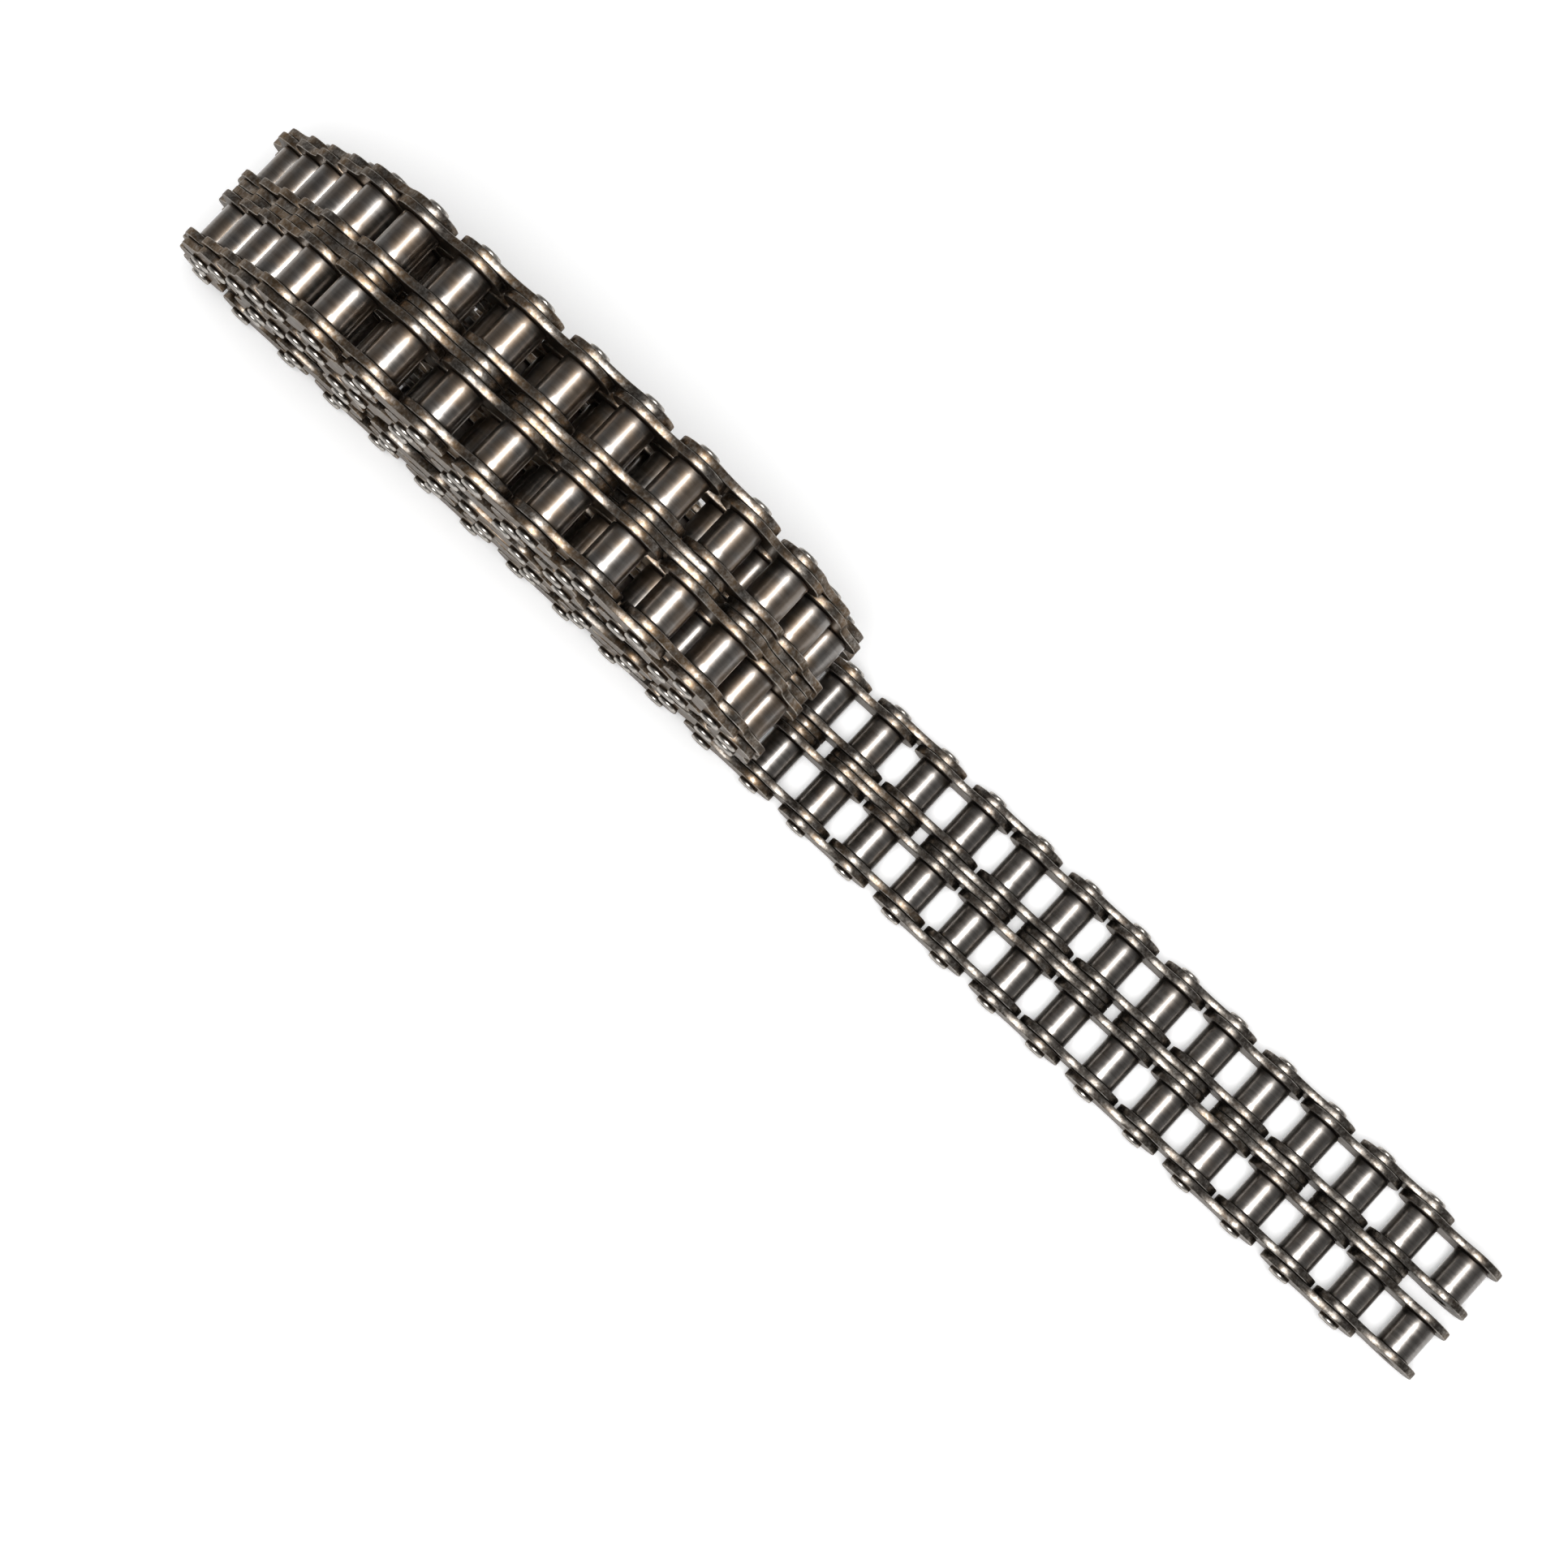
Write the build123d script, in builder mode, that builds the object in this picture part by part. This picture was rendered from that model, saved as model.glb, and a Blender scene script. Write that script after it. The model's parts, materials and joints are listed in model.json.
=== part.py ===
from build123d import *
import math
import os

# A duplex roller chain, partly wound into a flattened coil that stands on its rim, with a straight tail.
# X runs along the tail to its free end, Y across the two strands, along the pins, and Z up.
# The origin is the middle of the chain's overall box, on the surface that it stands on.

# Chain sizes, in millimetres
pitch = 19.05
inner_width = 12.57
roller_diameter = 11.91
bush_diameter = 8.3
pin_diameter = 5.94
plate_thickness = 2.4
outer_plate_height = 15.62
waist_share = 0.76

# Running and assembly clearances
link_end_gap = 0.97
side_play = 0.2
pin_clearance = 0.03
roller_clearance = 0.06
roller_end_play = 0.12
press_clearance = 0.01

# Riveted pin ends and broken edges
rivet_height = 1.5
rivet_spread = 0.35
rivet_round = 0.6
roller_edge = 0.5

# The coil: its straight runs, as headings in degrees and distances from its middle on the outermost turn.
# The foot and the shoulder cut across the corner of the runs beside them, that far inside it.
inner_turn_height = 33.08
foot_heading = 70
foot_cut = 20.6
left_heading = 52
left_reach = 69.15
shoulder_heading = -25
shoulder_cut = 11.88
right_heading = -70
right_reach = 107.35
inner_turn_reach = 49.5
inner_end_reach = 12.0
turn_gap = 0.45

# The bends between those runs, turn by turn, in the order that the chain takes them from the tail inwards,
# and the most of a straight run that the bends at its two ends may take
outer_turn_bends = (18.44, 35, 41.9, 38.1, 30.5, 48.5)
middle_turn_bends = (17.38, 24.8, 43.8, 30.5)
inner_turn_bends = (16.94, 22.9)
bend_share = 0.9975

# The tail: its links, and how far from the coil's middle they start
tail_links = 13
tail_start_reach = 114.3

# Sizes that follow
inner_plate_height = pitch - link_end_gap
link_width = inner_width + 2 * plate_thickness
strand_pitch = link_width + 2 * plate_thickness + 3 * side_play
inner_plate_offset = (inner_width + plate_thickness) / 2
centre_plate_offset = (plate_thickness + side_play) / 2
outer_plate_offset = (strand_pitch + link_width + plate_thickness) / 2 + side_play
pin_face = outer_plate_offset + plate_thickness / 2
pin_radius = pin_diameter / 2
bush_radius = bush_diameter / 2
turn_pitch = inner_plate_height + turn_gap
coil_height = 5 * turn_pitch + inner_turn_height
strands = (-strand_pitch / 2, strand_pitch / 2)


# The pins' path
def run(heading, reach, depth):
    """A straight run some turns in from the outermost: its outward normal and its reach from the middle."""
    return Vector(0, 1).rotate(Axis.Z, heading), reach - depth * turn_pitch


def crossing(before, after):
    """Where two straight runs meet."""
    (first, reach), (second, next_reach) = before, after
    area = first.X * second.Y - first.Y * second.X
    x = (reach * second.Y - next_reach * first.Y) / area
    z = (next_reach * first.X - reach * second.X) / area
    return Vector(x, z)


def across_corner(before, after, heading, cut):
    """A short run across the corner of two others: its heading and its reach from the coil's middle."""
    corner = crossing(run(*before, 0), run(*after, 0))
    outward, _ = run(heading, 0, 0)
    return heading, corner.dot(outward) - cut


def fitted_bends(points, bends):
    """The bends' radii, made smaller where two neighbours would need more than the run between them."""
    lines = [second - first for first, second in zip(points, points[1:])]
    turns = [before.get_angle(after) for before, after in zip(lines, lines[1:])]
    cuts = [bend * math.tan(math.radians(turn / 2)) for bend, turn in zip(bends, turns)]
    needs = [first + second for first, second in zip([0, *cuts], [*cuts, 0])]
    shares = [bend_share * line.length / need for line, need in zip(lines, needs)]
    return [bend * min(1, before, after) for bend, before, after in zip(bends, shares, shares[1:])]


def pin_path():
    """The line that the pins follow, from the free end of the tail to the chain's inner end."""
    floor = (180, coil_height / 2)
    top = (0, coil_height / 2)
    left = (left_heading, left_reach)
    right = (right_heading, right_reach)
    foot = across_corner(floor, left, foot_heading, foot_cut)
    shoulder = across_corner(top, right, shoulder_heading, shoulder_cut)
    turns = ((floor, foot, left, top, shoulder, right), (floor, left, top, right), (floor, left, top))
    runs = [run(*side, depth) for depth, turn in enumerate(turns) for side in turn]
    runs += [run(-90, inner_turn_reach, 0), run(*floor, 3)]

    start = Vector(tail_start_reach + tail_links * pitch, -coil_height / 2)
    end = Vector(-inner_end_reach, 3 * turn_pitch - coil_height / 2)
    points = [start, *(crossing(a, b) for a, b in zip(runs, runs[1:])), end]
    last_bends = (inner_turn_height / 2, inner_turn_height / 2)
    bends = outer_turn_bends + middle_turn_bends + inner_turn_bends + last_bends
    with BuildLine() as path:
        FilletPolyline(*points, radius=fitted_bends(points, bends))
    return path.wires()[0]


def pin_centres(path):
    """The pins' places along the path, each one pitch straight from the last, ending on an inner link."""
    travelled = 0
    centres = [path.position_at(0)]
    while travelled < path.length:
        step = pitch
        for _ in range(8):
            place = path.position_at(min(travelled + step, path.length), PositionMode.LENGTH)
            step += pitch - (place - centres[-1]).length
        travelled += step
        centres.append(place)
    spare = 1 + (len(centres) - tail_links) % 2
    return centres[:-spare]


route = pin_centres(pin_path())
low_x = min(centre.X for centre in route)
high_x = max(centre.X for centre in route)
shift = Vector(-(low_x + high_x) / 2, (coil_height + inner_plate_height) / 2)
pins = [centre + shift for centre in reversed(route)]
coil_links = len(pins) - 1 - tail_links


def link_place(index):
    """The frame of the link between two neighbouring pins: X along it, Y across the chain."""
    first, second = pins[index], pins[index + 1]
    middle = (first + second) / 2
    angle = math.degrees(math.atan2(second.Y - first.Y, second.X - first.X))
    return Location((middle.X, 0, middle.Y), (0, -angle, 0))


def pin_place(index):
    """The frame of one pin's axis."""
    return Location((pins[index].X, 0, pins[index].Y))


# The pieces of a link, each made about the link's own middle
def plates(height, bore_radius, offsets):
    """Waisted plates of one height, side by side at the given distances from the chain's middle."""
    reach = pitch / 2
    lobe = height / 2
    waist = waist_share * lobe
    hollow = (reach**2 + waist**2 - lobe**2) / (2 * (lobe - waist))
    rise = waist + hollow
    share = hollow / (lobe + hollow)
    touch_x = reach * share
    touch_y = rise * lobe / (lobe + hollow)
    with BuildPart() as group:
        for offset_y in offsets:
            with BuildSketch(Plane.XZ.offset(-offset_y)):
                with BuildLine():
                    ThreePointArc((-touch_x, touch_y), (0, waist), (touch_x, touch_y))
                    ThreePointArc((touch_x, touch_y), (reach + lobe, 0), (touch_x, -touch_y))
                    ThreePointArc((touch_x, -touch_y), (0, -waist), (-touch_x, -touch_y))
                    ThreePointArc((-touch_x, -touch_y), (-reach - lobe, 0), (-touch_x, touch_y))
                make_face()
                with GridLocations(pitch, pitch, 2, 1):
                    Circle(bore_radius, mode=Mode.SUBTRACT)
            extrude(amount=plate_thickness / 2, both=True)
    return group.part


def tubes(outer_radius, inner_radius, length, edge_round):
    """A pair of tubes on one pin's axis, one in the middle of each strand."""
    with BuildPart() as pair:
        for strand in strands:
            with BuildSketch(Plane.XZ.offset(-strand)):
                Circle(outer_radius)
                Circle(inner_radius, mode=Mode.SUBTRACT)
            extrude(amount=length / 2, both=True)
        if edge_round:
            rims = pair.edges().filter_by(GeomType.CIRCLE).filter_by(lambda e: e.radius > inner_radius)
            fillet(rims, edge_round)
    return pair.part


def riveted_pin():
    """A pin through both strands, with its ends riveted over the outer plates."""
    with BuildPart() as pin:
        with BuildSketch(Plane.XZ):
            Circle(pin_radius)
        extrude(amount=pin_face, both=True)
        for side in (-1, 1):
            with BuildSketch(Plane.XZ.offset(side * pin_face)):
                Circle(pin_radius + rivet_spread)
            extrude(amount=side * rivet_height)
        ends = pin.edges().sort_by(Axis.Y)
        fillet([ends[0], ends[-1]], rivet_round)
    return pin.part


def copies(name, piece, places):
    """Writes one node: the same piece at each of the places."""
    with BuildPart() as node:
        with Locations(*places):
            add(piece, clean=False)
    node.part.label = name
    export_step(node.part, f"parts/{name}.step")


inner_plate_offsets = [strand + side * inner_plate_offset for strand in strands for side in (-1, 1)]
centre_plate_offsets = [side * centre_plate_offset for side in (-1, 1)]
outer_plate_offsets = [side * outer_plate_offset for side in (-1, 1)]
inner_plates = plates(inner_plate_height, bush_radius + press_clearance, inner_plate_offsets)
centre_plates = plates(outer_plate_height, pin_radius + press_clearance, centre_plate_offsets)
outer_plates = plates(outer_plate_height, pin_radius + press_clearance, outer_plate_offsets)
bush_pair = tubes(bush_radius, pin_radius + pin_clearance, link_width, 0)
roller_pair = tubes(
    roller_diameter / 2,
    bush_radius + roller_clearance,
    inner_width - 2 * roller_end_play,
    roller_edge,
)
pin = riveted_pin()

os.makedirs("parts", exist_ok=True)

# The coil: inner links at even places from its inner end, outer links between them
coil_inner_links = range(0, coil_links, 2)
coil_outer_links = range(1, coil_links, 2)
coil_inner_pins = [end for link in coil_inner_links for end in (link, link + 1)]
coil_outer_pins = [end for link in coil_outer_links for end in (link, link + 1)]
copies("coil_inner_plates", inner_plates, [link_place(link) for link in coil_inner_links])
copies("coil_outer_plates", outer_plates, [link_place(link) for link in coil_outer_links])
copies("coil_centre_plates", centre_plates, [link_place(link) for link in coil_outer_links])
copies("coil_bushes", bush_pair, [pin_place(end) for end in coil_inner_pins])
copies("coil_rollers", roller_pair, [pin_place(end) for end in coil_inner_pins])
copies("coil_pins", pin, [pin_place(end) for end in coil_outer_pins])

# The tail: links from the coil to the free end, the first and the last of them inner links
for number in range(1, tail_links + 1):
    link = coil_links + number - 1
    ends = [pin_place(link), pin_place(link + 1)]
    name = f"tail_link_{number:02d}"
    if number % 2:
        copies(f"{name}_inner_plates", inner_plates, [link_place(link)])
        copies(f"{name}_bushes", bush_pair, ends)
        copies(f"tail_rollers_{number:02d}", roller_pair, ends[:1])
        copies(f"tail_rollers_{number + 1:02d}", roller_pair, ends[1:])
    else:
        copies(f"{name}_outer_plates", outer_plates, [link_place(link)])
        copies(f"{name}_centre_plates", centre_plates, [link_place(link)])
        copies(f"{name}_pins", pin, ends)
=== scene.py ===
"""Builds the finished look of a two-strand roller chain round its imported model."""
import json
import math
import random

import bmesh
import bpy
import numpy as np
from bpy.props import FloatProperty, FloatVectorProperty, IntProperty, PointerProperty
from mathutils import Matrix, Vector
from mathutils.geometry import tessellate_polygon


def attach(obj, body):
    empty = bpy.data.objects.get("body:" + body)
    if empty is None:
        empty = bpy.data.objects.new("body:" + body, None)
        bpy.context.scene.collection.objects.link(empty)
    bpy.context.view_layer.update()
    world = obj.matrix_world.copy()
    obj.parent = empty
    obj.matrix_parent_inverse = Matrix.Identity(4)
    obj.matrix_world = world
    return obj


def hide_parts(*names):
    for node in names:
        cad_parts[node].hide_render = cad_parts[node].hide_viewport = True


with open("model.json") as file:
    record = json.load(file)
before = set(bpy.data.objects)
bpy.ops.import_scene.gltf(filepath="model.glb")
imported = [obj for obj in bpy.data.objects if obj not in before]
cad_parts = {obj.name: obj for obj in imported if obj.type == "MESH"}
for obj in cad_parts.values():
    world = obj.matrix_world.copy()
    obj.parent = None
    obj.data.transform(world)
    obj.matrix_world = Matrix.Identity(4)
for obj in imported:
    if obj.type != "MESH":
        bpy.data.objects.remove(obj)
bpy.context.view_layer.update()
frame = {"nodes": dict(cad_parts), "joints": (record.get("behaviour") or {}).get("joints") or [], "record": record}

bl_info = {
    "name": "Two-strand roller chain",
    "version": (1, 0, 0),
    "blender": (4, 5, 0),
    "location": "View3D > Sidebar > Chain",
    "description": "Builds the plates, pins, bushes and rollers of a two-strand roller chain, with its steel",
    "category": "Mesh",
}

MM = 0.001
BODY_OF = {node: body for body, nodes in frame["record"]["behaviour"]["bodies"].items() for node in nodes}
JOINT_PLACES = {joint["name"]: joint["pos_m"] for joint in frame["joints"]}

# The pins' route: how far it may miss a joint, the corrections to each step, and the length of its open end
JOINT_SLACK = 0.05 * MM
STEP_CORRECTIONS = 8
OPEN_END = 1.0

# Roundings, lead-ins and rims of the pieces, and the depths and radii of the dimple in a riveted end
ROLLER_EDGE = 0.5 * MM
ROLLER_LEAD = 0.25 * MM
BUSH_EDGE = 0.15 * MM
BUSH_LEAD = 0.3 * MM
RIVET_EDGE = 0.6 * MM
RIVET_DIMPLE = ((0.22 * MM, 0.7 * MM), (0.05 * MM, 1.25 * MM), (0, 1.6 * MM))
HOLE_RIM = 0.12 * MM

# How far in the middle of a rounding lies from both its faces, as a share of its radius
ROUNDING_MIDDLE = 0.29

# Where wear fades out: this far from a plate's edges and holes, and at this share of a roller's half length
EDGE_BAND = 0.55 * MM
HOLE_BAND = 0.7 * MM
ROLLER_MIDDLE = 0.6

# How finely round forms are divided
ROLLER_SEGMENTS = 48
BUSH_SEGMENTS = 40
PIN_SEGMENTS = 32
HOLE_SEGMENTS = 20
LOBE_STEPS = 20
WAIST_STEPS = 8
EDGE_STEPS = 3
RIVET_STEPS = 4

# The first seed of each kind of piece, for how light or dark its copies are
SEEDS = {
    "inner_plates": 100,
    "outer_plates": 200,
    "centre_plates": 300,
    "pins": 400,
    "bushes": 500,
    "rollers": 600,
}

# Dried oil by place: how much of a steel it covers and how strongly, and the tail links counted as near
PLATE_OIL = {"coil": (0.68, 0.85), "near": (0.6, 0.62), "tail": (0.5, 0.4)}
ROLLER_OIL = {"coil": (0.66, 0.65), "near": (0.58, 0.5), "tail": (0.5, 0.35)}
PIN_OIL = (0.55, 0.5)
NEAR_LINKS = 3

# What every steel shares: its tint at a slant, the oil's gloss, and how much each effect counts
SLANT_TINT = (0.42, 0.39, 0.36, 1)
OIL_GLOSS_ROUGHNESS = 0.2
OIL_GLOSS_IOR = 1.75
TONE_SHARE = 0.35
PIT_SHARE = 0.25
PIT_DEPTH = 0.4
OIL_ROUGHNESS = 0.06
RELIEF_DEPTH = 0.05 * MM

# How far the noise on a piece is shifted in X, Y and Z at full tone, in millimetres
TONE_SHIFTS = (173.0, 91.0, 257.0)


# Settings
def length(name, description, default):
    """A length in metres that a user can change."""
    return FloatProperty(name=name, description=description, default=default, unit="LENGTH", precision=5)


def colour(name, description, default):
    """A colour that a user can change."""
    return FloatVectorProperty(
        name=name, description=description, default=default, subtype="COLOR", size=3, min=0, max=1
    )


def heading(name, description, degrees):
    """A straight run's heading that a user can change."""
    return FloatProperty(
        name=name, description=description, default=math.radians(degrees), subtype="ANGLE"
    )


def bends(name, description, default):
    """The bend radii of one turn, in metres, that a user can change."""
    return FloatVectorProperty(
        name=name, description=description, default=default, size=len(default), unit="LENGTH"
    )


def amount(name, description, default, **limits):
    """A plain number that a user can change, with its limits or its unit."""
    return FloatProperty(name=name, description=description, default=default, **limits)


class ChainSizes(bpy.types.PropertyGroup):
    """Sizes of the chain's pieces"""

    pitch: length("Pitch", "Distance between neighbouring pins", 19.05 * MM)
    inner_width: length("Inner width", "Clear width between the inner plates of a strand", 12.57 * MM)
    plate_thickness: length("Plate thickness", "Thickness of every plate", 2.4 * MM)
    inner_plate_height: length("Inner plate height", "Height of an inner plate's lobes", 18.08 * MM)
    outer_plate_height: length("Outer plate height", "Height of an outer plate's lobes", 15.62 * MM)
    waist_share: amount("Waist", "Waist of a plate as a share of its height", 0.76, min=0.5, max=0.95)
    side_play: length("Side play", "Gap between neighbouring plates", 0.2 * MM)
    roller_radius: length("Roller radius", "Radius of a roller", 5.955 * MM)
    roller_bore: length("Roller bore", "Radius of a roller's bore", 4.21 * MM)
    roller_length: length("Roller length", "Length of a roller", 12.33 * MM)
    bush_radius: length("Bush radius", "Outer radius of a bush", 4.15 * MM)
    bush_bore: length("Bush bore", "Radius of a bush's bore", 3.0 * MM)
    pin_radius: length("Pin radius", "Radius of a pin", 2.97 * MM)
    rivet_radius: length("Rivet radius", "Radius of a pin's riveted end", 3.32 * MM)
    rivet_height: length("Rivet height", "How far a riveted end stands out", 1.5 * MM)
    press_gap: length("Press gap", "Radial gap in a pressed seat", 0.01 * MM)
    broken_edge: length("Broken edge", "Size of the rounding on the plates' edges", 0.28 * MM)


class CoilShape(bpy.types.PropertyGroup):
    """Straight runs and bends of the coil"""

    turn_gap: length("Turn gap", "Gap between the plates of neighbouring turns", 0.45 * MM)
    inner_turn_height: length("Inner turn height", "Height between the innermost runs", 33.08 * MM)
    foot_heading: heading("Foot heading", "Heading of the left foot", 70)
    foot_cut: length("Foot cut", "How far the left foot cuts its corner", 20.6 * MM)
    left_heading: heading("Left heading", "Heading of the left run", 52)
    left_reach: length("Left reach", "Distance of the left run from the coil's middle", 69.15 * MM)
    shoulder_heading: heading("Shoulder heading", "Heading of the shoulder", -25)
    shoulder_cut: length("Shoulder cut", "How far the shoulder cuts its corner", 11.88 * MM)
    right_heading: heading("Right heading", "Heading of the right run", -70)
    right_reach: length("Right reach", "Distance of the right run from the coil's middle", 107.35 * MM)
    inner_turn_reach: length("Inner turn reach", "Where the innermost turn ends", 49.5 * MM)
    outer_bends: bends(
        "Outer bends", "Bend radii of the outermost turn", (0.01844, 0.035, 0.0419, 0.0381, 0.0305, 0.0485)
    )
    middle_bends: bends(
        "Middle bends", "Bend radii of the middle turn", (0.01738, 0.0248, 0.0438, 0.0305)
    )
    inner_bends: bends(
        "Inner bends", "Bend radii of the innermost turn", (0.01694, 0.0229, 0.0164987, 0.0164987)
    )
    tail_links: IntProperty(name="Tail links", description="Links in the straight tail", default=13, min=1)
    coil_links: IntProperty(name="Coil links", description="Links in the coil", default=70, min=2)
    tail_start_reach: length("Tail start", "The tail's first pin from the coil's middle", 114.3 * MM)


class SteelFinish(bpy.types.PropertyGroup):
    """Colours of the oiled steel"""

    plate_dark: colour("Plate, dark", "Steel of the plates where oil lies on it", (0.055, 0.044, 0.035))
    plate_light: colour("Plate, light", "Bare steel of the plates", (0.15, 0.130, 0.110))
    plate_edge: colour("Plate edge", "Steel of the worn edges", (0.50, 0.47, 0.43))
    roller_dark: colour("Roller, dark", "Steel of the rollers where oil lies on it", (0.120, 0.105, 0.092))
    roller_light: colour("Roller, light", "Bare steel of the rollers", (0.29, 0.27, 0.248))
    oil_film: colour("Oil film", "Brown of the dried oil", (0.185, 0.114, 0.055))
    pin_light: colour("Pin end", "Steel of the riveted ends", (0.28, 0.255, 0.23))


class StageLook(bpy.types.PropertyGroup):
    """Camera, floor and light"""

    camera_place: FloatVectorProperty(
        name="Camera", description="Place of the camera", unit="LENGTH",
        default=(0.063865, -0.072911, 0.79235),
    )
    camera_forward: FloatVectorProperty(
        name="Forward", description="Direction that the camera looks in",
        default=(-0.08805, 0.07236, -0.99348),
    )
    camera_right: FloatVectorProperty(
        name="Right", description="Direction to the right of the picture",
        default=(0.73242, 0.68068, -0.01533),
    )
    lens: amount("Lens", "Focal length", 61.244, unit="CAMERA")
    floor_colour: colour("Floor", "Colour of the floor", (0.93, 0.93, 0.93))
    floor_size: length("Floor size", "Side of the floor", 40)
    wall_height: length("Wall height", "Height of the walls round the floor", 8)
    floor_glow: amount("Floor glow", "White added to the floor and its walls as seen", 0.19, min=0)
    world_level: amount("Fill", "Brightness of the surroundings", 0.15, min=0)
    key_level: amount("Key", "Power of the softbox", 14, unit="POWER")
    key_size: length("Softbox", "Side of the softbox", 500 * MM)
    key_distance: length("Softbox distance", "How far the softbox stands behind the camera", 360 * MM)


# The pins' route
def run(angle, reach):
    """A straight run: its outward normal and its distance from the coil's middle."""
    return Vector((-math.sin(angle), math.cos(angle))), reach


def crossing(before, after):
    """Where two straight runs meet."""
    (first, reach), (second, next_reach) = before, after
    area = first.cross(second)
    return Vector((reach * second.y - next_reach * first.y, next_reach * first.x - reach * second.x)) / area


def across_corner(before, after, angle, cut):
    """A short run across the corner of two others: its heading and its reach."""
    corner = crossing(run(*before), run(*after))
    return angle, corner.dot(run(angle, 0)[0]) - cut


def rounded(points, radii):
    """The straight and bent lengths of a route with rounded corners."""
    pieces = []
    start = points[0]
    for before, corner, after, radius in zip(points, points[1:], points[2:], radii):
        inward = (corner - before).normalized()
        outward = (after - corner).normalized()
        turn = math.atan2(inward.cross(outward), inward.dot(outward))
        cut = radius * math.tan(abs(turn) / 2)
        bend_start = corner - inward * cut
        centre = bend_start + math.copysign(radius, turn) * Vector((-inward.y, inward.x))
        pieces.append(("line", start, inward, (bend_start - start).length))
        pieces.append(("bend", centre, bend_start - centre, turn, abs(turn) * radius))
        start = corner + outward * cut
    pieces.append(("line", start, (points[-1] - start).normalized(), OPEN_END))
    return pieces


def along(pieces, travelled):
    """The point at a distance along the route."""
    for piece in pieces:
        if travelled <= piece[-1]:
            break
        travelled -= piece[-1]
    if piece[0] == "line":
        return piece[1] + piece[2] * travelled
    arm = piece[2].copy()
    arm.rotate(Matrix.Rotation(piece[3] * travelled / piece[4], 2))
    return piece[1] + arm


def pin_centres(sizes, coil):
    """Every pin's place, from the chain's inner end to the tail's free end."""
    turn_pitch = sizes.inner_plate_height + coil.turn_gap
    half = (5 * turn_pitch + coil.inner_turn_height) / 2
    floor = (math.pi, half)
    left = (coil.left_heading, coil.left_reach)
    top = (0, half)
    right = (coil.right_heading, coil.right_reach)
    foot = across_corner(floor, left, coil.foot_heading, coil.foot_cut)
    shoulder = across_corner(top, right, coil.shoulder_heading, coil.shoulder_cut)
    turns = ((floor, foot, left, top, shoulder, right), (floor, left, top, right), (floor, left, top))
    runs = []
    for depth, turn in enumerate(turns):
        runs += [run(angle, reach - depth * turn_pitch) for angle, reach in turn]
    runs += [run(-math.pi / 2, coil.inner_turn_reach), run(math.pi, half - 3 * turn_pitch)]
    start = Vector((coil.tail_start_reach + coil.tail_links * sizes.pitch, -half))
    points = [start, *(crossing(a, b) for a, b in zip(runs, runs[1:]))]
    points.append(points[-1] - Vector((OPEN_END, 0)))
    pieces = rounded(points, [*coil.outer_bends, *coil.middle_bends, *coil.inner_bends])

    travelled = 0
    centres = [start]
    for _ in range(coil.tail_links + coil.coil_links):
        step = sizes.pitch
        for _ in range(STEP_CORRECTIONS):
            step += sizes.pitch - (along(pieces, travelled + step) - centres[-1]).length
        travelled += step
        centres.append(along(pieces, travelled))
    free_end = JOINT_PLACES[f"roller_spin_{coil.tail_links + 1:02d}"]
    shift = Vector((free_end[0], free_end[2])) - start
    return [Vector((c.x + shift.x, 0, c.y + shift.y)) for c in reversed(centres)]


def link_place(first, second):
    """The frame of a link: X from one pin to the next, Y across the chain."""
    angle = math.atan2(second.z - first.z, second.x - first.x)
    return Matrix.Translation((first + second) / 2) @ Matrix.Rotation(-angle, 4, "Y")


class Route:
    """The places of the pieces, by the start of their node's name, or by the whole name for rollers."""

    def __init__(self, sizes, coil):
        pins = pin_centres(sizes, coil)
        for number in range(1, coil.tail_links + 1):
            joint = Vector(JOINT_PLACES[f"link_pivot_{number:02d}"])
            if (joint - pins[coil.coil_links + number - 1]).length > JOINT_SLACK:
                raise RuntimeError(f"The route misses joint {number}")
        links = [link_place(a, b) for a, b in zip(pins, pins[1:])]
        ends = [Matrix.Translation(centre) for centre in pins]
        self.inner_links = {"coil": links[0 : coil.coil_links : 2]}
        self.outer_links = {"coil": links[1 : coil.coil_links : 2]}
        self.inner_ends = {"coil": ends[: coil.coil_links]}
        self.outer_ends = {"coil": ends[1 : coil.coil_links + 1]}
        self.roller_ends = {"coil_rollers": ends[: coil.coil_links]}
        for number in range(1, coil.tail_links + 1):
            index = coil.coil_links + number - 1
            name = f"tail_link_{number:02d}"
            is_inner = number % 2
            (self.inner_links if is_inner else self.outer_links)[name] = [links[index]]
            (self.inner_ends if is_inner else self.outer_ends)[name] = ends[index : index + 2]
        for number in range(1, coil.tail_links + 2):
            self.roller_ends[f"tail_rollers_{number:02d}"] = [ends[coil.coil_links + number - 1]]


# Meshes
class Form:
    """A piece's points, faces, and how worn each point is."""

    def __init__(self):
        self.points = []
        self.worn = []
        self.faces = []
        self.smooth = []

    def add_ring(self, ring, worn):
        """Adds a closed ring of points and returns their numbers."""
        start = len(self.points)
        self.points += [tuple(p) for p in ring]
        self.worn += [worn] * len(ring)
        return list(range(start, len(self.points)))

    def bridge(self, ring, other, smooth=True):
        """Joins two rings of as many points with faces."""
        count = len(ring)
        for i in range(count):
            j = (i + 1) % count
            self.faces.append((ring[i], ring[j], other[j], other[i]))
            self.smooth.append(smooth)

    def cover(self, face, smooth=False):
        """Adds one flat face."""
        self.faces.append(tuple(face))
        self.smooth.append(smooth)

    def moved(self, y):
        """The same form, moved across the chain."""
        other = Form()
        other.points = [(p[0], p[1] + y, p[2]) for p in self.points]
        other.worn = list(self.worn)
        other.faces = list(self.faces)
        other.smooth = list(self.smooth)
        return other


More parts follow.
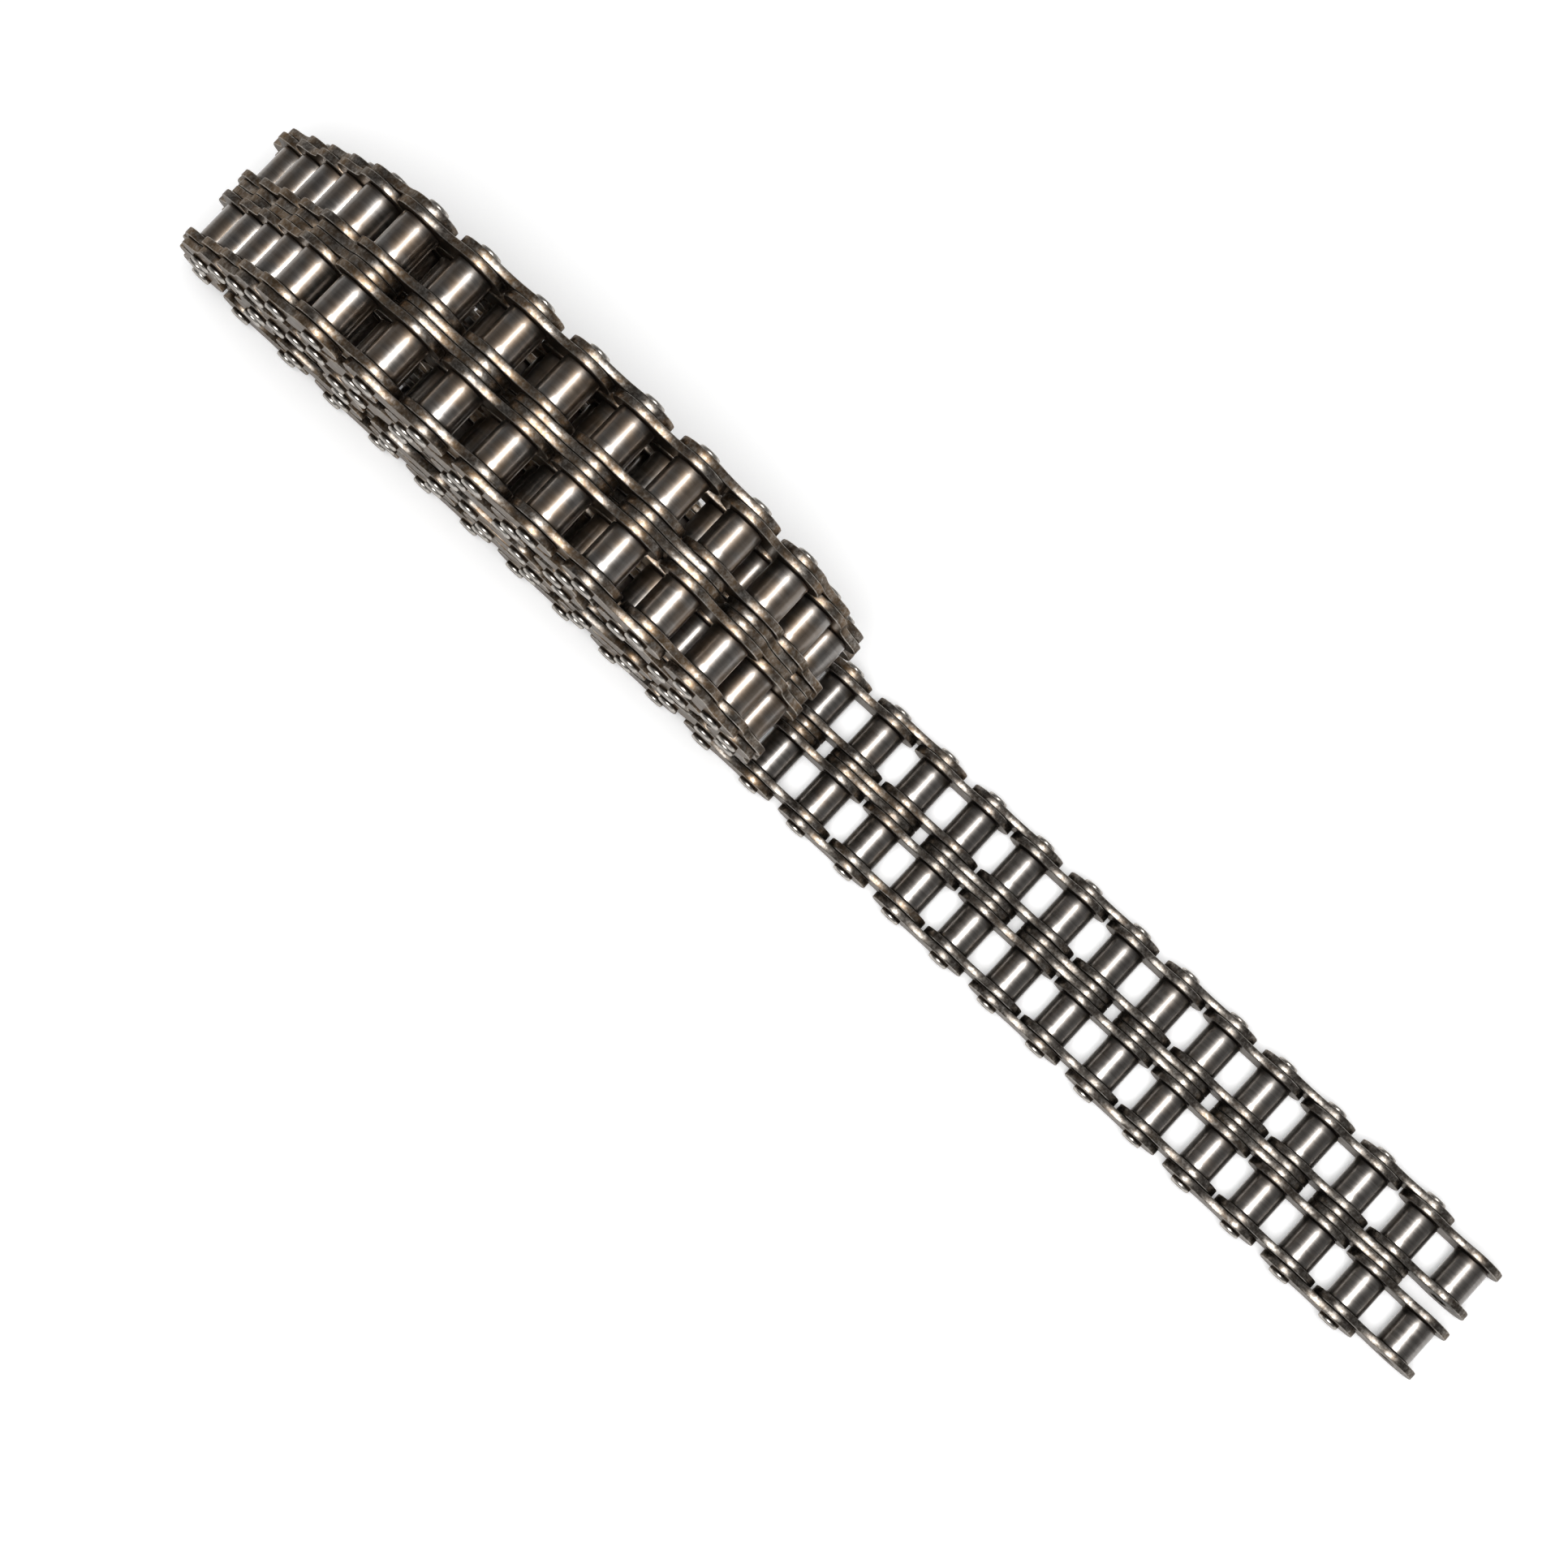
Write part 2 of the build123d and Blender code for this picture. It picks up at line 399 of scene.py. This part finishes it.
def turned(profile, segments, worn, closed=True):
    """A profile of (distance along Y, radius) points, turned about Y. An open one is covered at both ends."""
    form = Form()
    rings = []
    angles = [2 * math.pi * i / segments for i in range(segments)]
    for (y, radius), wear in zip(profile, worn):
        rings.append(form.add_ring([(radius * math.cos(a), y, radius * math.sin(a)) for a in angles], wear))
    for ring, other in zip(rings, rings[1:]):
        form.bridge(ring, other)
    if closed:
        form.bridge(rings[-1], rings[0])
    else:
        form.cover(rings[0][::-1], True)
        form.cover(rings[-1], True)
    return form


def quarter(y, radius, size, steps):
    """Points of a rounded outer edge, from the end face at y to the side."""
    points = []
    for i in range(steps + 1):
        a = math.pi / 2 * i / steps
        points.append((y + size * (1 - math.cos(a)), radius - size * (1 - math.sin(a))))
    return points


def bore_profile(half, bore, lead):
    """Points of a bore with a lead-in at each end."""
    return [(half, bore + lead), (half - lead, bore), (lead - half, bore), (-half, bore + lead)]


def roller_form(sizes):
    """A roller with rounded rims and a lead-in at each end of its bore."""
    half = sizes.roller_length / 2
    radius = sizes.roller_radius
    left = quarter(-half, radius, ROLLER_EDGE, EDGE_STEPS)
    right = [(-y, r) for y, r in reversed(left)]
    middle = [(half * share, radius) for share in (-ROLLER_MIDDLE, ROLLER_MIDDLE)]
    profile = left + middle + right + bore_profile(half, sizes.roller_bore, ROLLER_LEAD)
    worn = [0.9] * len(left) + [0.3] * len(middle) + [0.9] * len(right) + [0.2] * 4
    return turned(profile, ROLLER_SEGMENTS, worn)


def bush_form(sizes):
    """A bush with a small lead-in at each end of its bore."""
    half = sizes.inner_width / 2 + sizes.plate_thickness
    edge = BUSH_EDGE
    radius = sizes.bush_radius
    outside = [(-half, radius - edge), (edge - half, radius), (half - edge, radius), (half, radius - edge)]
    profile = outside + bore_profile(half, sizes.bush_bore, BUSH_LEAD)
    return turned(profile, BUSH_SEGMENTS, [0.8, 0.4, 0.4, 0.8, 0.6, 0.1, 0.1, 0.6])


def pin_form(sizes):
    """A pin whose ends are riveted over, with a shallow dimple in each."""
    face = pin_face(sizes)
    end = face + sizes.rivet_height
    head = sizes.rivet_radius
    dimple = [(end - depth, radius) for depth, radius in RIVET_DIMPLE]
    rounding = [(end - y, radius) for y, radius in quarter(0, head, RIVET_EDGE, RIVET_STEPS)]
    side = dimple + rounding + [(face, head), (face, sizes.pin_radius)]
    worn = [0.1, 0.5, 0.9] + [1.0] * len(rounding) + [0.15, 0.0]
    profile = side + [(-y, radius) for y, radius in reversed(side)]
    return turned(profile, PIN_SEGMENTS, worn + worn[::-1], closed=False)


def plate_outline(height, sizes, inset):
    """The waisted outline of a plate, moved inwards by inset, as (x, z) points."""
    reach = sizes.pitch / 2
    lobe = height / 2
    waist = sizes.waist_share * lobe
    hollow = (reach**2 + waist**2 - lobe**2) / (2 * (lobe - waist))
    rise = waist + hollow
    tilt = math.atan2(rise, reach)
    points = []
    for side in (1, -1):
        for i in range(LOBE_STEPS):
            a = (math.pi - tilt) * (2 * i / LOBE_STEPS - 1)
            r = lobe - inset
            points.append((side * (reach + r * math.cos(a)), side * r * math.sin(a)))
        for i in range(WAIST_STEPS):
            a = (math.pi / 2 - tilt) * (1 - 2 * i / WAIST_STEPS)
            r = hollow + inset
            points.append((side * r * math.sin(a), side * (rise - r * math.cos(a))))
    return points


def circle(x, radius):
    """A hole's circle of (x, z) points."""
    angles = [2 * math.pi * i / HOLE_SEGMENTS for i in range(HOLE_SEGMENTS)]
    return [(x + radius * math.cos(a), radius * math.sin(a)) for a in angles]


def plate_form(height, bore, sizes):
    """A stamped plate: waisted outline, broken edges and two holes with broken rims."""
    form = Form()
    half = sizes.plate_thickness / 2
    edge = sizes.broken_edge
    middle = ROUNDING_MIDDLE * edge
    reach = sizes.pitch / 2
    outer = {}
    holes = {}
    for side in (-1, 1):
        rings = []
        layers = ((edge, 0, 0.75), (middle, middle, 1.0), (0, edge, 0.8), (0, edge + EDGE_BAND, 0.1))
        for depth, inset, wear in layers:
            outline = plate_outline(height, sizes, inset)
            rings.append(form.add_ring([(x, side * (half - depth), z) for x, z in outline], wear))
        outer[side] = rings
        holes[side] = []
        for end in (-1, 1):
            around = []
            for depth, outset, wear in ((HOLE_RIM, 0, 0.3), (0, HOLE_RIM, 0.6), (0, HOLE_BAND, 0.05)):
                rim = circle(end * reach, bore + outset)
                around.append(form.add_ring([(x, side * (half - depth), z) for x, z in rim], wear))
            holes[side].append(around)
    for side in (-1, 1):
        rings = outer[side]
        for index, (ring, other) in enumerate(zip(rings, rings[1:])):
            form.bridge(ring, other, smooth=index < 2)
        for around in holes[side]:
            for index, (ring, other) in enumerate(zip(around, around[1:])):
                form.bridge(ring, other, smooth=index < 1)
        loops = [rings[-1], *(around[-1] for around in holes[side])]
        flat = [[Vector((form.points[i][0], form.points[i][2], 0)) for i in loop] for loop in loops]
        numbers = [i for loop in loops for i in loop]
        for a, b, c in tessellate_polygon(flat):
            form.cover((numbers[a], numbers[b], numbers[c]))
    form.bridge(outer[-1][0], outer[1][0])
    for around, opposite in zip(holes[-1], holes[1]):
        form.bridge(around[0], opposite[0])
    return form


def plate_offsets(sizes):
    """How far the inner, centre and outer plates lie from the chain's middle."""
    strand = strand_offset(sizes)
    inner = (sizes.inner_width + sizes.plate_thickness) / 2
    centre = (sizes.plate_thickness + sizes.side_play) / 2
    inner_plates = [s * strand + side * inner for s in (-1, 1) for side in (-1, 1)]
    outer = pin_face(sizes) - sizes.plate_thickness / 2
    return inner_plates, (-centre, centre), (-outer, outer)


def strand_offset(sizes):
    """How far each strand lies from the chain's middle."""
    return (sizes.inner_width + 4 * sizes.plate_thickness + 3 * sizes.side_play) / 2


def pin_face(sizes):
    """How far the outer plates' outer faces lie from the chain's middle."""
    return strand_offset(sizes) + sizes.inner_width / 2 + 2 * sizes.plate_thickness + sizes.side_play


def merged(forms):
    """Several forms as one: points, their wear, faces, which are smooth, and each point's form by number."""
    points = np.concatenate([np.array(form.points) for form in forms])
    worn = np.concatenate([np.array(form.worn) for form in forms])
    owners = np.repeat(np.arange(len(forms)), [len(form.points) for form in forms])
    faces = []
    smooth = []
    start = 0
    for form in forms:
        faces += [tuple(i + start for i in face) for face in form.faces]
        smooth += form.smooth
        start += len(form.points)
    return points, worn, faces, smooth, owners


def fitted(node, forms, places, material, seed):
    """Copies the forms to every place, as one piece that stands for a node."""
    points, worn, faces, smooth, owners = merged(forms)
    chance = random.Random(seed)
    all_points = []
    tones = []
    for place in places:
        matrix = np.array(place)
        all_points.append(points @ matrix[:3, :3].T + matrix[:3, 3])
        tones.append(np.array([chance.random() for _ in forms])[owners])
    count = len(points)
    mesh = bpy.data.meshes.new(f"{node}.steel")
    mesh.from_pydata(
        np.concatenate(all_points).tolist(),
        [],
        [tuple(i + count * copy for i in face) for copy in range(len(places)) for face in faces],
    )
    mesh.polygons.foreach_set("use_smooth", smooth * len(places))
    own = mesh.attributes.new("place", "FLOAT_VECTOR", "POINT")
    own.data.foreach_set("vector", np.tile(points / MM, (len(places), 1)).astype(np.float32).ravel())
    mesh.attributes.new("tone", "FLOAT", "POINT").data.foreach_set("value", np.concatenate(tones))
    mesh.attributes.new("worn", "FLOAT", "POINT").data.foreach_set("value", np.tile(worn, len(places)))
    mesh.materials.append(material)
    turn_outwards(mesh)
    piece = bpy.data.objects.new(f"{node}.steel", mesh)
    bpy.context.scene.collection.objects.link(piece)
    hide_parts(node)
    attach(piece, BODY_OF[node])


def turn_outwards(mesh):
    """Makes every face look outwards."""
    work = bmesh.new()
    work.from_mesh(mesh)
    bmesh.ops.recalc_face_normals(work, faces=work.faces)
    work.to_mesh(mesh)
    work.free()
    mesh.update()


# Shader groups
def node_group(name, inputs, outputs):
    """A shader group with named float or vector sockets, and the sockets of its two end nodes."""
    kinds = {"float": "NodeSocketFloat", "vector": "NodeSocketVector"}
    group = bpy.data.node_groups.new(name, "ShaderNodeTree")
    for title, kind, default in inputs:
        socket = group.interface.new_socket(name=title, in_out="INPUT", socket_type=kinds[kind])
        if default is not None:
            socket.default_value = default
    for title, kind in outputs:
        group.interface.new_socket(name=title, in_out="OUTPUT", socket_type=kinds[kind])
    return group, group.nodes.new("NodeGroupInput").outputs, group.nodes.new("NodeGroupOutput").inputs


def feed(tree, value, socket):
    """Sets a socket to a plain value, or joins another node's socket to it."""
    if isinstance(value, bpy.types.NodeSocket):
        tree.links.new(value, socket)
    else:
        socket.default_value = value


def attribute(tree, name):
    """The outputs of a node that reads one of the pieces' own values."""
    node = tree.nodes.new("ShaderNodeAttribute")
    node.attribute_name = name
    return node.outputs


def maths(tree, kind, a, b):
    """A maths node on sockets or numbers."""
    node = tree.nodes.new("ShaderNodeMath")
    node.operation = kind
    for socket, value in zip(node.inputs, (a, b)):
        feed(tree, value, socket)
    return node.outputs[0]


def vector_maths(tree, kind, a, b):
    """A vector maths node on sockets or plain vectors."""
    node = tree.nodes.new("ShaderNodeVectorMath")
    node.operation = kind
    for socket, value in zip(node.inputs, (a, b)):
        feed(tree, value, socket)
    return node.outputs[0]


def noise(tree, vector, scale, detail, roughness):
    """A noise texture's value."""
    node = tree.nodes.new("ShaderNodeTexNoise")
    values = {"Vector": vector, "Scale": scale, "Detail": detail, "Roughness": roughness}
    for name, value in values.items():
        feed(tree, value, node.inputs[name])
    return node.outputs["Fac"]


def swing(tree, value, width):
    """A noise's value, moved to lie about zero and made that wide."""
    return maths(tree, "MULTIPLY", maths(tree, "SUBTRACT", value, 0.5), width)


def spread(tree, value, low, high, to_low=0.0, to_high=1.0):
    """Maps a value from one range to another, smoothly and clamped."""
    node = tree.nodes.new("ShaderNodeMapRange")
    node.interpolation_type = "SMOOTHSTEP"
    values = {"Value": value, "From Min": low, "From Max": high, "To Min": to_low, "To Max": to_high}
    for name, bound in values.items():
        feed(tree, bound, node.inputs[name])
    return node.outputs["Result"]


def blend_colours(tree, factor, first, second):
    """Mixes two colours, each a socket or a plain colour."""
    node = tree.nodes.new("ShaderNodeMix")
    node.data_type = "RGBA"
    feed(tree, factor, node.inputs["Factor"])
    for socket, value in ((node.inputs[6], first), (node.inputs[7], second)):
        is_plain = not isinstance(value, bpy.types.NodeSocket)
        feed(tree, (*value[:3], 1) if is_plain else value, socket)
    return node.outputs[2]


def own_place_group():
    """Where a point lies on its own piece, in millimetres, shifted so that no two pieces look alike."""
    group, _, ends = node_group("own_place", [], [("Shifted", "vector"), ("Tone", "float")])
    place = attribute(group, "place")["Vector"]
    tone = attribute(group, "tone")["Fac"]
    shift = group.nodes.new("ShaderNodeCombineXYZ")
    for socket, size in zip(shift.inputs, TONE_SHIFTS):
        group.links.new(maths(group, "MULTIPLY", tone, size), socket)
    group.links.new(vector_maths(group, "ADD", place, shift.outputs[0]), ends["Shifted"])
    group.links.new(tone, ends["Tone"])
    return group


def oil_group():
    """Where dried oil lies: broad soft patches, with fine specks at their edges."""
    inputs = [("Place", "vector", None), ("Cover", "float", 0.5), ("Size", "float", 0.12)]
    group, starts, ends = node_group("dried_oil", inputs, [("Mask", "float")])
    broad = noise(group, starts["Place"], scale=starts["Size"], detail=2, roughness=0.55)
    fine = noise(group, starts["Place"], scale=1.9, detail=4, roughness=0.7)
    mixed = maths(group, "ADD", broad, swing(group, fine, 0.1))
    low = maths(group, "SUBTRACT", 1.0, starts["Cover"])
    high = maths(group, "ADD", low, 0.3)
    group.links.new(spread(group, mixed, low, high), ends["Mask"])
    return group


def wear_group():
    """Where handling and rubbing have bared the steel, on edges and in scattered scuffs."""
    inputs = [("Place", "vector", None), ("Amount", "float", 0.5)]
    group, starts, ends = node_group("edge_wear", inputs, [("Mask", "float")])
    worn = attribute(group, "worn")["Fac"]
    scuffs = noise(group, starts["Place"], scale=0.9, detail=4, roughness=0.65)
    mixed = maths(group, "ADD", worn, swing(group, scuffs, 0.7))
    low = maths(group, "SUBTRACT", 1.0, starts["Amount"])
    high = maths(group, "ADD", low, 0.45)
    group.links.new(spread(group, mixed, low, high), ends["Mask"])
    return group


def grain_group():
    """Fine lines left by working the steel, along a stretched direction, with small pits."""
    inputs = [("Place", "vector", None), ("Stretch", "vector", (1, 1, 1))]
    group, starts, ends = node_group("worked_grain", inputs, [("Lines", "float"), ("Pits", "float")])
    stretched = vector_maths(group, "MULTIPLY", starts["Place"], starts["Stretch"])
    spots = noise(group, starts["Place"], scale=2.6, detail=3, roughness=0.6)
    group.links.new(noise(group, stretched, scale=1, detail=4, roughness=0.7), ends["Lines"])
    group.links.new(spread(group, spots, 0.60, 0.72), ends["Pits"])
    return group


GROUP_MAKERS = {
    "own_place": own_place_group,
    "dried_oil": oil_group,
    "edge_wear": wear_group,
    "worked_grain": grain_group,
}


def use_group(tree, name, **values):
    """Places a shader group, made on first use, and sets its inputs."""
    group = bpy.data.node_groups.get(name) or GROUP_MAKERS[name]()
    node = tree.nodes.new("ShaderNodeGroup")
    node.node_tree = group
    for title, value in values.items():
        feed(tree, value, node.inputs[title])
    return node.outputs


# Steel finishes
def oil_place(node):
    """Where a node lies, for its dried oil, which is thickest on the coil and fades along the tail."""
    if node.startswith("coil"):
        return "coil"
    number = next(int(word) for word in node.split("_") if word.isdigit())
    return "near" if number <= NEAR_LINKS else "tail"


def oiled_steel(
    name, dark, light, edge, film, oil, flat_oil, wear, stretch, rough, smooth, bump, coat
):
    """Oiled steel: dark where oil lies, lighter where bare, brightest on worn edges."""
    oil_cover, oil_share = oil
    if name in bpy.data.materials:
        return bpy.data.materials[name]
    material = bpy.data.materials.new(name)
    material.use_nodes = True
    tree = material.node_tree
    shader = tree.nodes["Principled BSDF"]
    shader.inputs["Metallic"].default_value = 1.0
    shader.inputs["Specular Tint"].default_value = SLANT_TINT
    shader.inputs["Coat Weight"].default_value = coat
    shader.inputs["Coat Roughness"].default_value = OIL_GLOSS_ROUGHNESS
    shader.inputs["Coat IOR"].default_value = OIL_GLOSS_IOR
    own = use_group(tree, "own_place")
    oiled = use_group(tree, "dried_oil", Place=own["Shifted"], Cover=oil_cover)["Mask"]
    bared = use_group(tree, "edge_wear", Place=own["Shifted"], Amount=wear)["Mask"]
    grain = use_group(tree, "worked_grain", Place=own["Shifted"], Stretch=stretch)
    steel = blend_colours(tree, spread(tree, grain["Lines"], 0.1, 0.9), dark, light)
    held = spread(tree, attribute(tree, "worn")["Fac"], 0.15, 0.7, flat_oil * oil_share, oil_share)
    steel = blend_colours(tree, maths(tree, "MULTIPLY", oiled, held), steel, film)
    steel = blend_colours(tree, maths(tree, "MULTIPLY", own["Tone"], TONE_SHARE), steel, dark)
    steel = blend_colours(tree, bared, steel, edge)
    steel = blend_colours(tree, maths(tree, "MULTIPLY", grain["Pits"], PIT_SHARE), steel, dark)
    tree.links.new(steel, shader.inputs["Base Color"])
    roughness = spread(tree, grain["Lines"], 0.3, 0.75, smooth, rough)
    roughness = maths(tree, "ADD", roughness, maths(tree, "MULTIPLY", oiled, OIL_ROUGHNESS))
    tree.links.new(roughness, shader.inputs["Roughness"])
    relief = tree.nodes.new("ShaderNodeBump")
    relief.inputs["Strength"].default_value = bump
    relief.inputs["Distance"].default_value = RELIEF_DEPTH
    height = maths(tree, "SUBTRACT", grain["Lines"], maths(tree, "MULTIPLY", grain["Pits"], PIT_DEPTH))
    tree.links.new(height, relief.inputs["Height"])
    tree.links.new(relief.outputs["Normal"], shader.inputs["Normal"])
    return material


def plate_steel(finish, node):
    """Stamped plate steel."""
    place = oil_place(node)
    return oiled_steel(
        f"plate_steel_{place}", finish.plate_dark, finish.plate_light, finish.plate_edge, finish.oil_film,
        oil=PLATE_OIL[place], flat_oil=0.4, wear=0.35, stretch=(0.5, 1.6, 0.5),
        rough=0.42, smooth=0.28, bump=0.1, coat=0.15,
    )


def roller_steel(finish, node):
    """Turned roller steel."""
    place = oil_place(node)
    return oiled_steel(
        f"roller_steel_{place}", finish.roller_dark, finish.roller_light, finish.plate_edge, finish.oil_film,
        oil=ROLLER_OIL[place], flat_oil=1.0, wear=0.1, stretch=(0.06, 0.7, 0.06),
        rough=0.38, smooth=0.31, bump=0.006, coat=1.0,
    )


def pin_steel(finish, _):
    """Hardened steel of the pins, hammered at their ends, and of the bushes."""
    return oiled_steel(
        "pin_steel", finish.plate_dark, finish.pin_light, finish.plate_edge, finish.oil_film,
        oil=PIN_OIL, flat_oil=1.0, wear=0.42, stretch=(1.2, 0.5, 1.2),
        rough=0.4, smooth=0.25, bump=0.15, coat=0.3,
    )


# The stage
def make_floor(look):
    """A plain pale floor, with walls of the same colour far behind the object on all sides."""
    half = look.floor_size / 2
    mesh = bpy.data.meshes.new("floor")
    corners = ((-half, -half), (half, -half), (half, half), (-half, half))
    points = [(x, y, z) for z in (0, look.wall_height) for x, y in corners]
    walls = [(i, (i + 1) % 4, (i + 1) % 4 + 4, i + 4) for i in range(4)]
    mesh.from_pydata(points, [], [(0, 1, 2, 3), *walls])
    material = bpy.data.materials.new("pale_floor")
    material.use_nodes = True
    tree = material.node_tree
    shader = tree.nodes["Principled BSDF"]
    shader.inputs["Base Color"].default_value = (*look.floor_colour, 1)
    shader.inputs["Roughness"].default_value = 0.9
    shader.inputs["Specular IOR Level"].default_value = 0.1
    path = tree.nodes.new("ShaderNodeLightPath").outputs
    seen = maths(tree, "MAXIMUM", path["Is Camera Ray"], path["Is Glossy Ray"])
    seen = maths(tree, "MAXIMUM", seen, path["Is Transmission Ray"])
    shader.inputs["Emission Color"].default_value = (1, 1, 1, 1)
    tree.links.new(maths(tree, "MULTIPLY", seen, look.floor_glow), shader.inputs["Emission Strength"])
    mesh.materials.append(material)
    floor = bpy.data.objects.new("floor", mesh)
    bpy.context.scene.collection.objects.link(floor)


def make_lights(scene, look):
    """Pale surroundings, and a square softbox behind the camera that looks at the floor's middle."""
    world = bpy.data.worlds.new("surroundings")
    world.use_nodes = True
    background = world.node_tree.nodes["Background"]
    background.inputs["Color"].default_value = (1, 1, 1, 1)
    background.inputs["Strength"].default_value = look.world_level
    scene.world = world
    lamp = bpy.data.lights.new("softbox", "AREA")
    lamp.shape = "SQUARE"
    lamp.size = look.key_size
    lamp.energy = look.key_level
    place = Vector(look.camera_place) - look.key_distance * Vector(look.camera_forward).normalized()
    softbox = bpy.data.objects.new("softbox", lamp)
    softbox.location = place
    softbox.rotation_euler = (-place).to_track_quat("-Z", "Y").to_euler()
    scene.collection.objects.link(softbox)


def make_camera(scene, look):
    """The photograph's camera."""
    lens = bpy.data.cameras.new("camera")
    lens.lens = look.lens
    lens.sensor_width = 36
    lens.clip_start = 0.01
    camera = bpy.data.objects.new("camera", lens)
    forward = Vector(look.camera_forward).normalized()
    right = Vector(look.camera_right).normalized()
    up = right.cross(forward)
    turn = Matrix((right, up, -forward)).transposed().to_4x4()
    camera.matrix_world = Matrix.Translation(look.camera_place) @ turn
    scene.collection.objects.link(camera)
    scene.camera = camera


# Operators
class ChainOperator:
    """What the chain's operators share."""

    bl_options = {"REGISTER", "UNDO"}

    def build(self, context, groups, suffix, forms, steel, slot, seed):
        """Fits one piece to each node of a group, whose name starts as the group says and ends in suffix."""
        finish = context.scene.chain_finish
        for number, (start, places) in enumerate(groups.items()):
            node = f"{start}_{suffix}" if suffix else start
            if node not in frame["nodes"]:
                raise RuntimeError(f"The model has no node {node}")
            fitted(node, forms, places, steel(finish, node), seed + number)


class CHAIN_OT_inner_plates(ChainOperator, bpy.types.Operator):
    """Builds the inner plates of the coil and of the tail's inner links"""

    bl_idname = "chain.inner_plates"
    bl_label = "Inner Plates"

    def execute(self, context):
        scene = context.scene
        sizes = scene.chain_sizes
        form = plate_form(sizes.inner_plate_height, sizes.bush_radius + sizes.press_gap, sizes)
        forms = [form.moved(y) for y in plate_offsets(sizes)[0]]
        links = Route(sizes, scene.chain_coil).inner_links
        seed = SEEDS["inner_plates"]
        self.build(context, links, "inner_plates", forms, plate_steel, "inner_plates", seed)
        return {"FINISHED"}


class CHAIN_OT_outer_plates(ChainOperator, bpy.types.Operator):
    """Builds the outer and centre plates of the coil and of the tail's outer links"""

    bl_idname = "chain.outer_plates"
    bl_label = "Outer and Centre Plates"

    def execute(self, context):
        scene = context.scene
        sizes = scene.chain_sizes
        form = plate_form(sizes.outer_plate_height, sizes.pin_radius + sizes.press_gap, sizes)
        _, centre, outer = plate_offsets(sizes)
        links = Route(sizes, scene.chain_coil).outer_links
        for kind, offsets in (("outer_plates", outer), ("centre_plates", centre)):
            forms = [form.moved(y) for y in offsets]
            self.build(context, links, kind, forms, plate_steel, "outer_plates", SEEDS[kind])
        return {"FINISHED"}


class CHAIN_OT_pins(ChainOperator, bpy.types.Operator):
    """Builds the riveted pins"""

    bl_idname = "chain.pins"
    bl_label = "Pins"

    def execute(self, context):
        scene = context.scene
        sizes = scene.chain_sizes
        ends = Route(sizes, scene.chain_coil).outer_ends
        self.build(context, ends, "pins", [pin_form(sizes)], pin_steel, "pins", SEEDS["pins"])
        return {"FINISHED"}


class CHAIN_OT_bushes(ChainOperator, bpy.types.Operator):
    """Builds the bushes"""

    bl_idname = "chain.bushes"
    bl_label = "Bushes"

    def execute(self, context):
        scene = context.scene
        sizes = scene.chain_sizes
        strand = strand_offset(sizes)
        forms = [bush_form(sizes).moved(y) for y in (-strand, strand)]
        ends = Route(sizes, scene.chain_coil).inner_ends
        self.build(context, ends, "bushes", forms, pin_steel, "bushes", SEEDS["bushes"])
        return {"FINISHED"}


class CHAIN_OT_rollers(ChainOperator, bpy.types.Operator):
    """Builds the rollers"""

    bl_idname = "chain.rollers"
    bl_label = "Rollers"

    def execute(self, context):
        scene = context.scene
        sizes = scene.chain_sizes
        strand = strand_offset(sizes)
        forms = [roller_form(sizes).moved(y) for y in (-strand, strand)]
        ends = Route(sizes, scene.chain_coil).roller_ends
        self.build(context, ends, "", forms, roller_steel, "rollers", SEEDS["rollers"])
        return {"FINISHED"}


class CHAIN_OT_stage(ChainOperator, bpy.types.Operator):
    """Builds the floor, the light and the camera"""

    bl_idname = "chain.stage"
    bl_label = "Stage"

    def execute(self, context):
        scene = context.scene
        look = scene.chain_stage
        make_floor(look)
        make_lights(scene, look)
        make_camera(scene, look)
        scene.view_settings.view_transform = "Standard"
        return {"FINISHED"}


# The panel
class CHAIN_PT_sidebar(bpy.types.Panel):
    """Lists the chain's settings and its pieces"""

    bl_idname = "CHAIN_PT_sidebar"
    bl_label = "Roller Chain"
    bl_space_type = "VIEW_3D"
    bl_region_type = "UI"
    bl_category = "Chain"

    def draw(self, context):
        for group in SETTINGS:
            settings = getattr(context.scene, group)
            for name in settings.bl_rna.properties.keys():
                if name not in ("rna_type", "name"):
                    self.layout.prop(settings, name)
        for operator in OPERATORS:
            self.layout.operator(operator.bl_idname)


SETTINGS = {
    "chain_sizes": ChainSizes,
    "chain_coil": CoilShape,
    "chain_finish": SteelFinish,
    "chain_stage": StageLook,
}
OPERATORS = (
    CHAIN_OT_stage,
    CHAIN_OT_inner_plates,
    CHAIN_OT_outer_plates,
    CHAIN_OT_pins,
    CHAIN_OT_bushes,
    CHAIN_OT_rollers,
)


def register():
    """Adds the settings, the operators and the panel."""
    for group in (*SETTINGS.values(), *OPERATORS, CHAIN_PT_sidebar):
        bpy.utils.register_class(group)
    for name, group in SETTINGS.items():
        setattr(bpy.types.Scene, name, PointerProperty(type=group))


def unregister():
    """Takes them away again."""
    for name in SETTINGS:
        delattr(bpy.types.Scene, name)
    for group in (CHAIN_PT_sidebar, *reversed(OPERATORS), *reversed(SETTINGS.values())):
        bpy.utils.unregister_class(group)


def main():
    """Builds the chain and its stage."""
    register()
    bpy.ops.chain.stage()
    bpy.ops.chain.inner_plates()
    bpy.ops.chain.outer_plates()
    bpy.ops.chain.pins()
    bpy.ops.chain.bushes()
    bpy.ops.chain.rollers()
    bpy.context.view_layer.update()


if __name__ == "__main__":
    main()
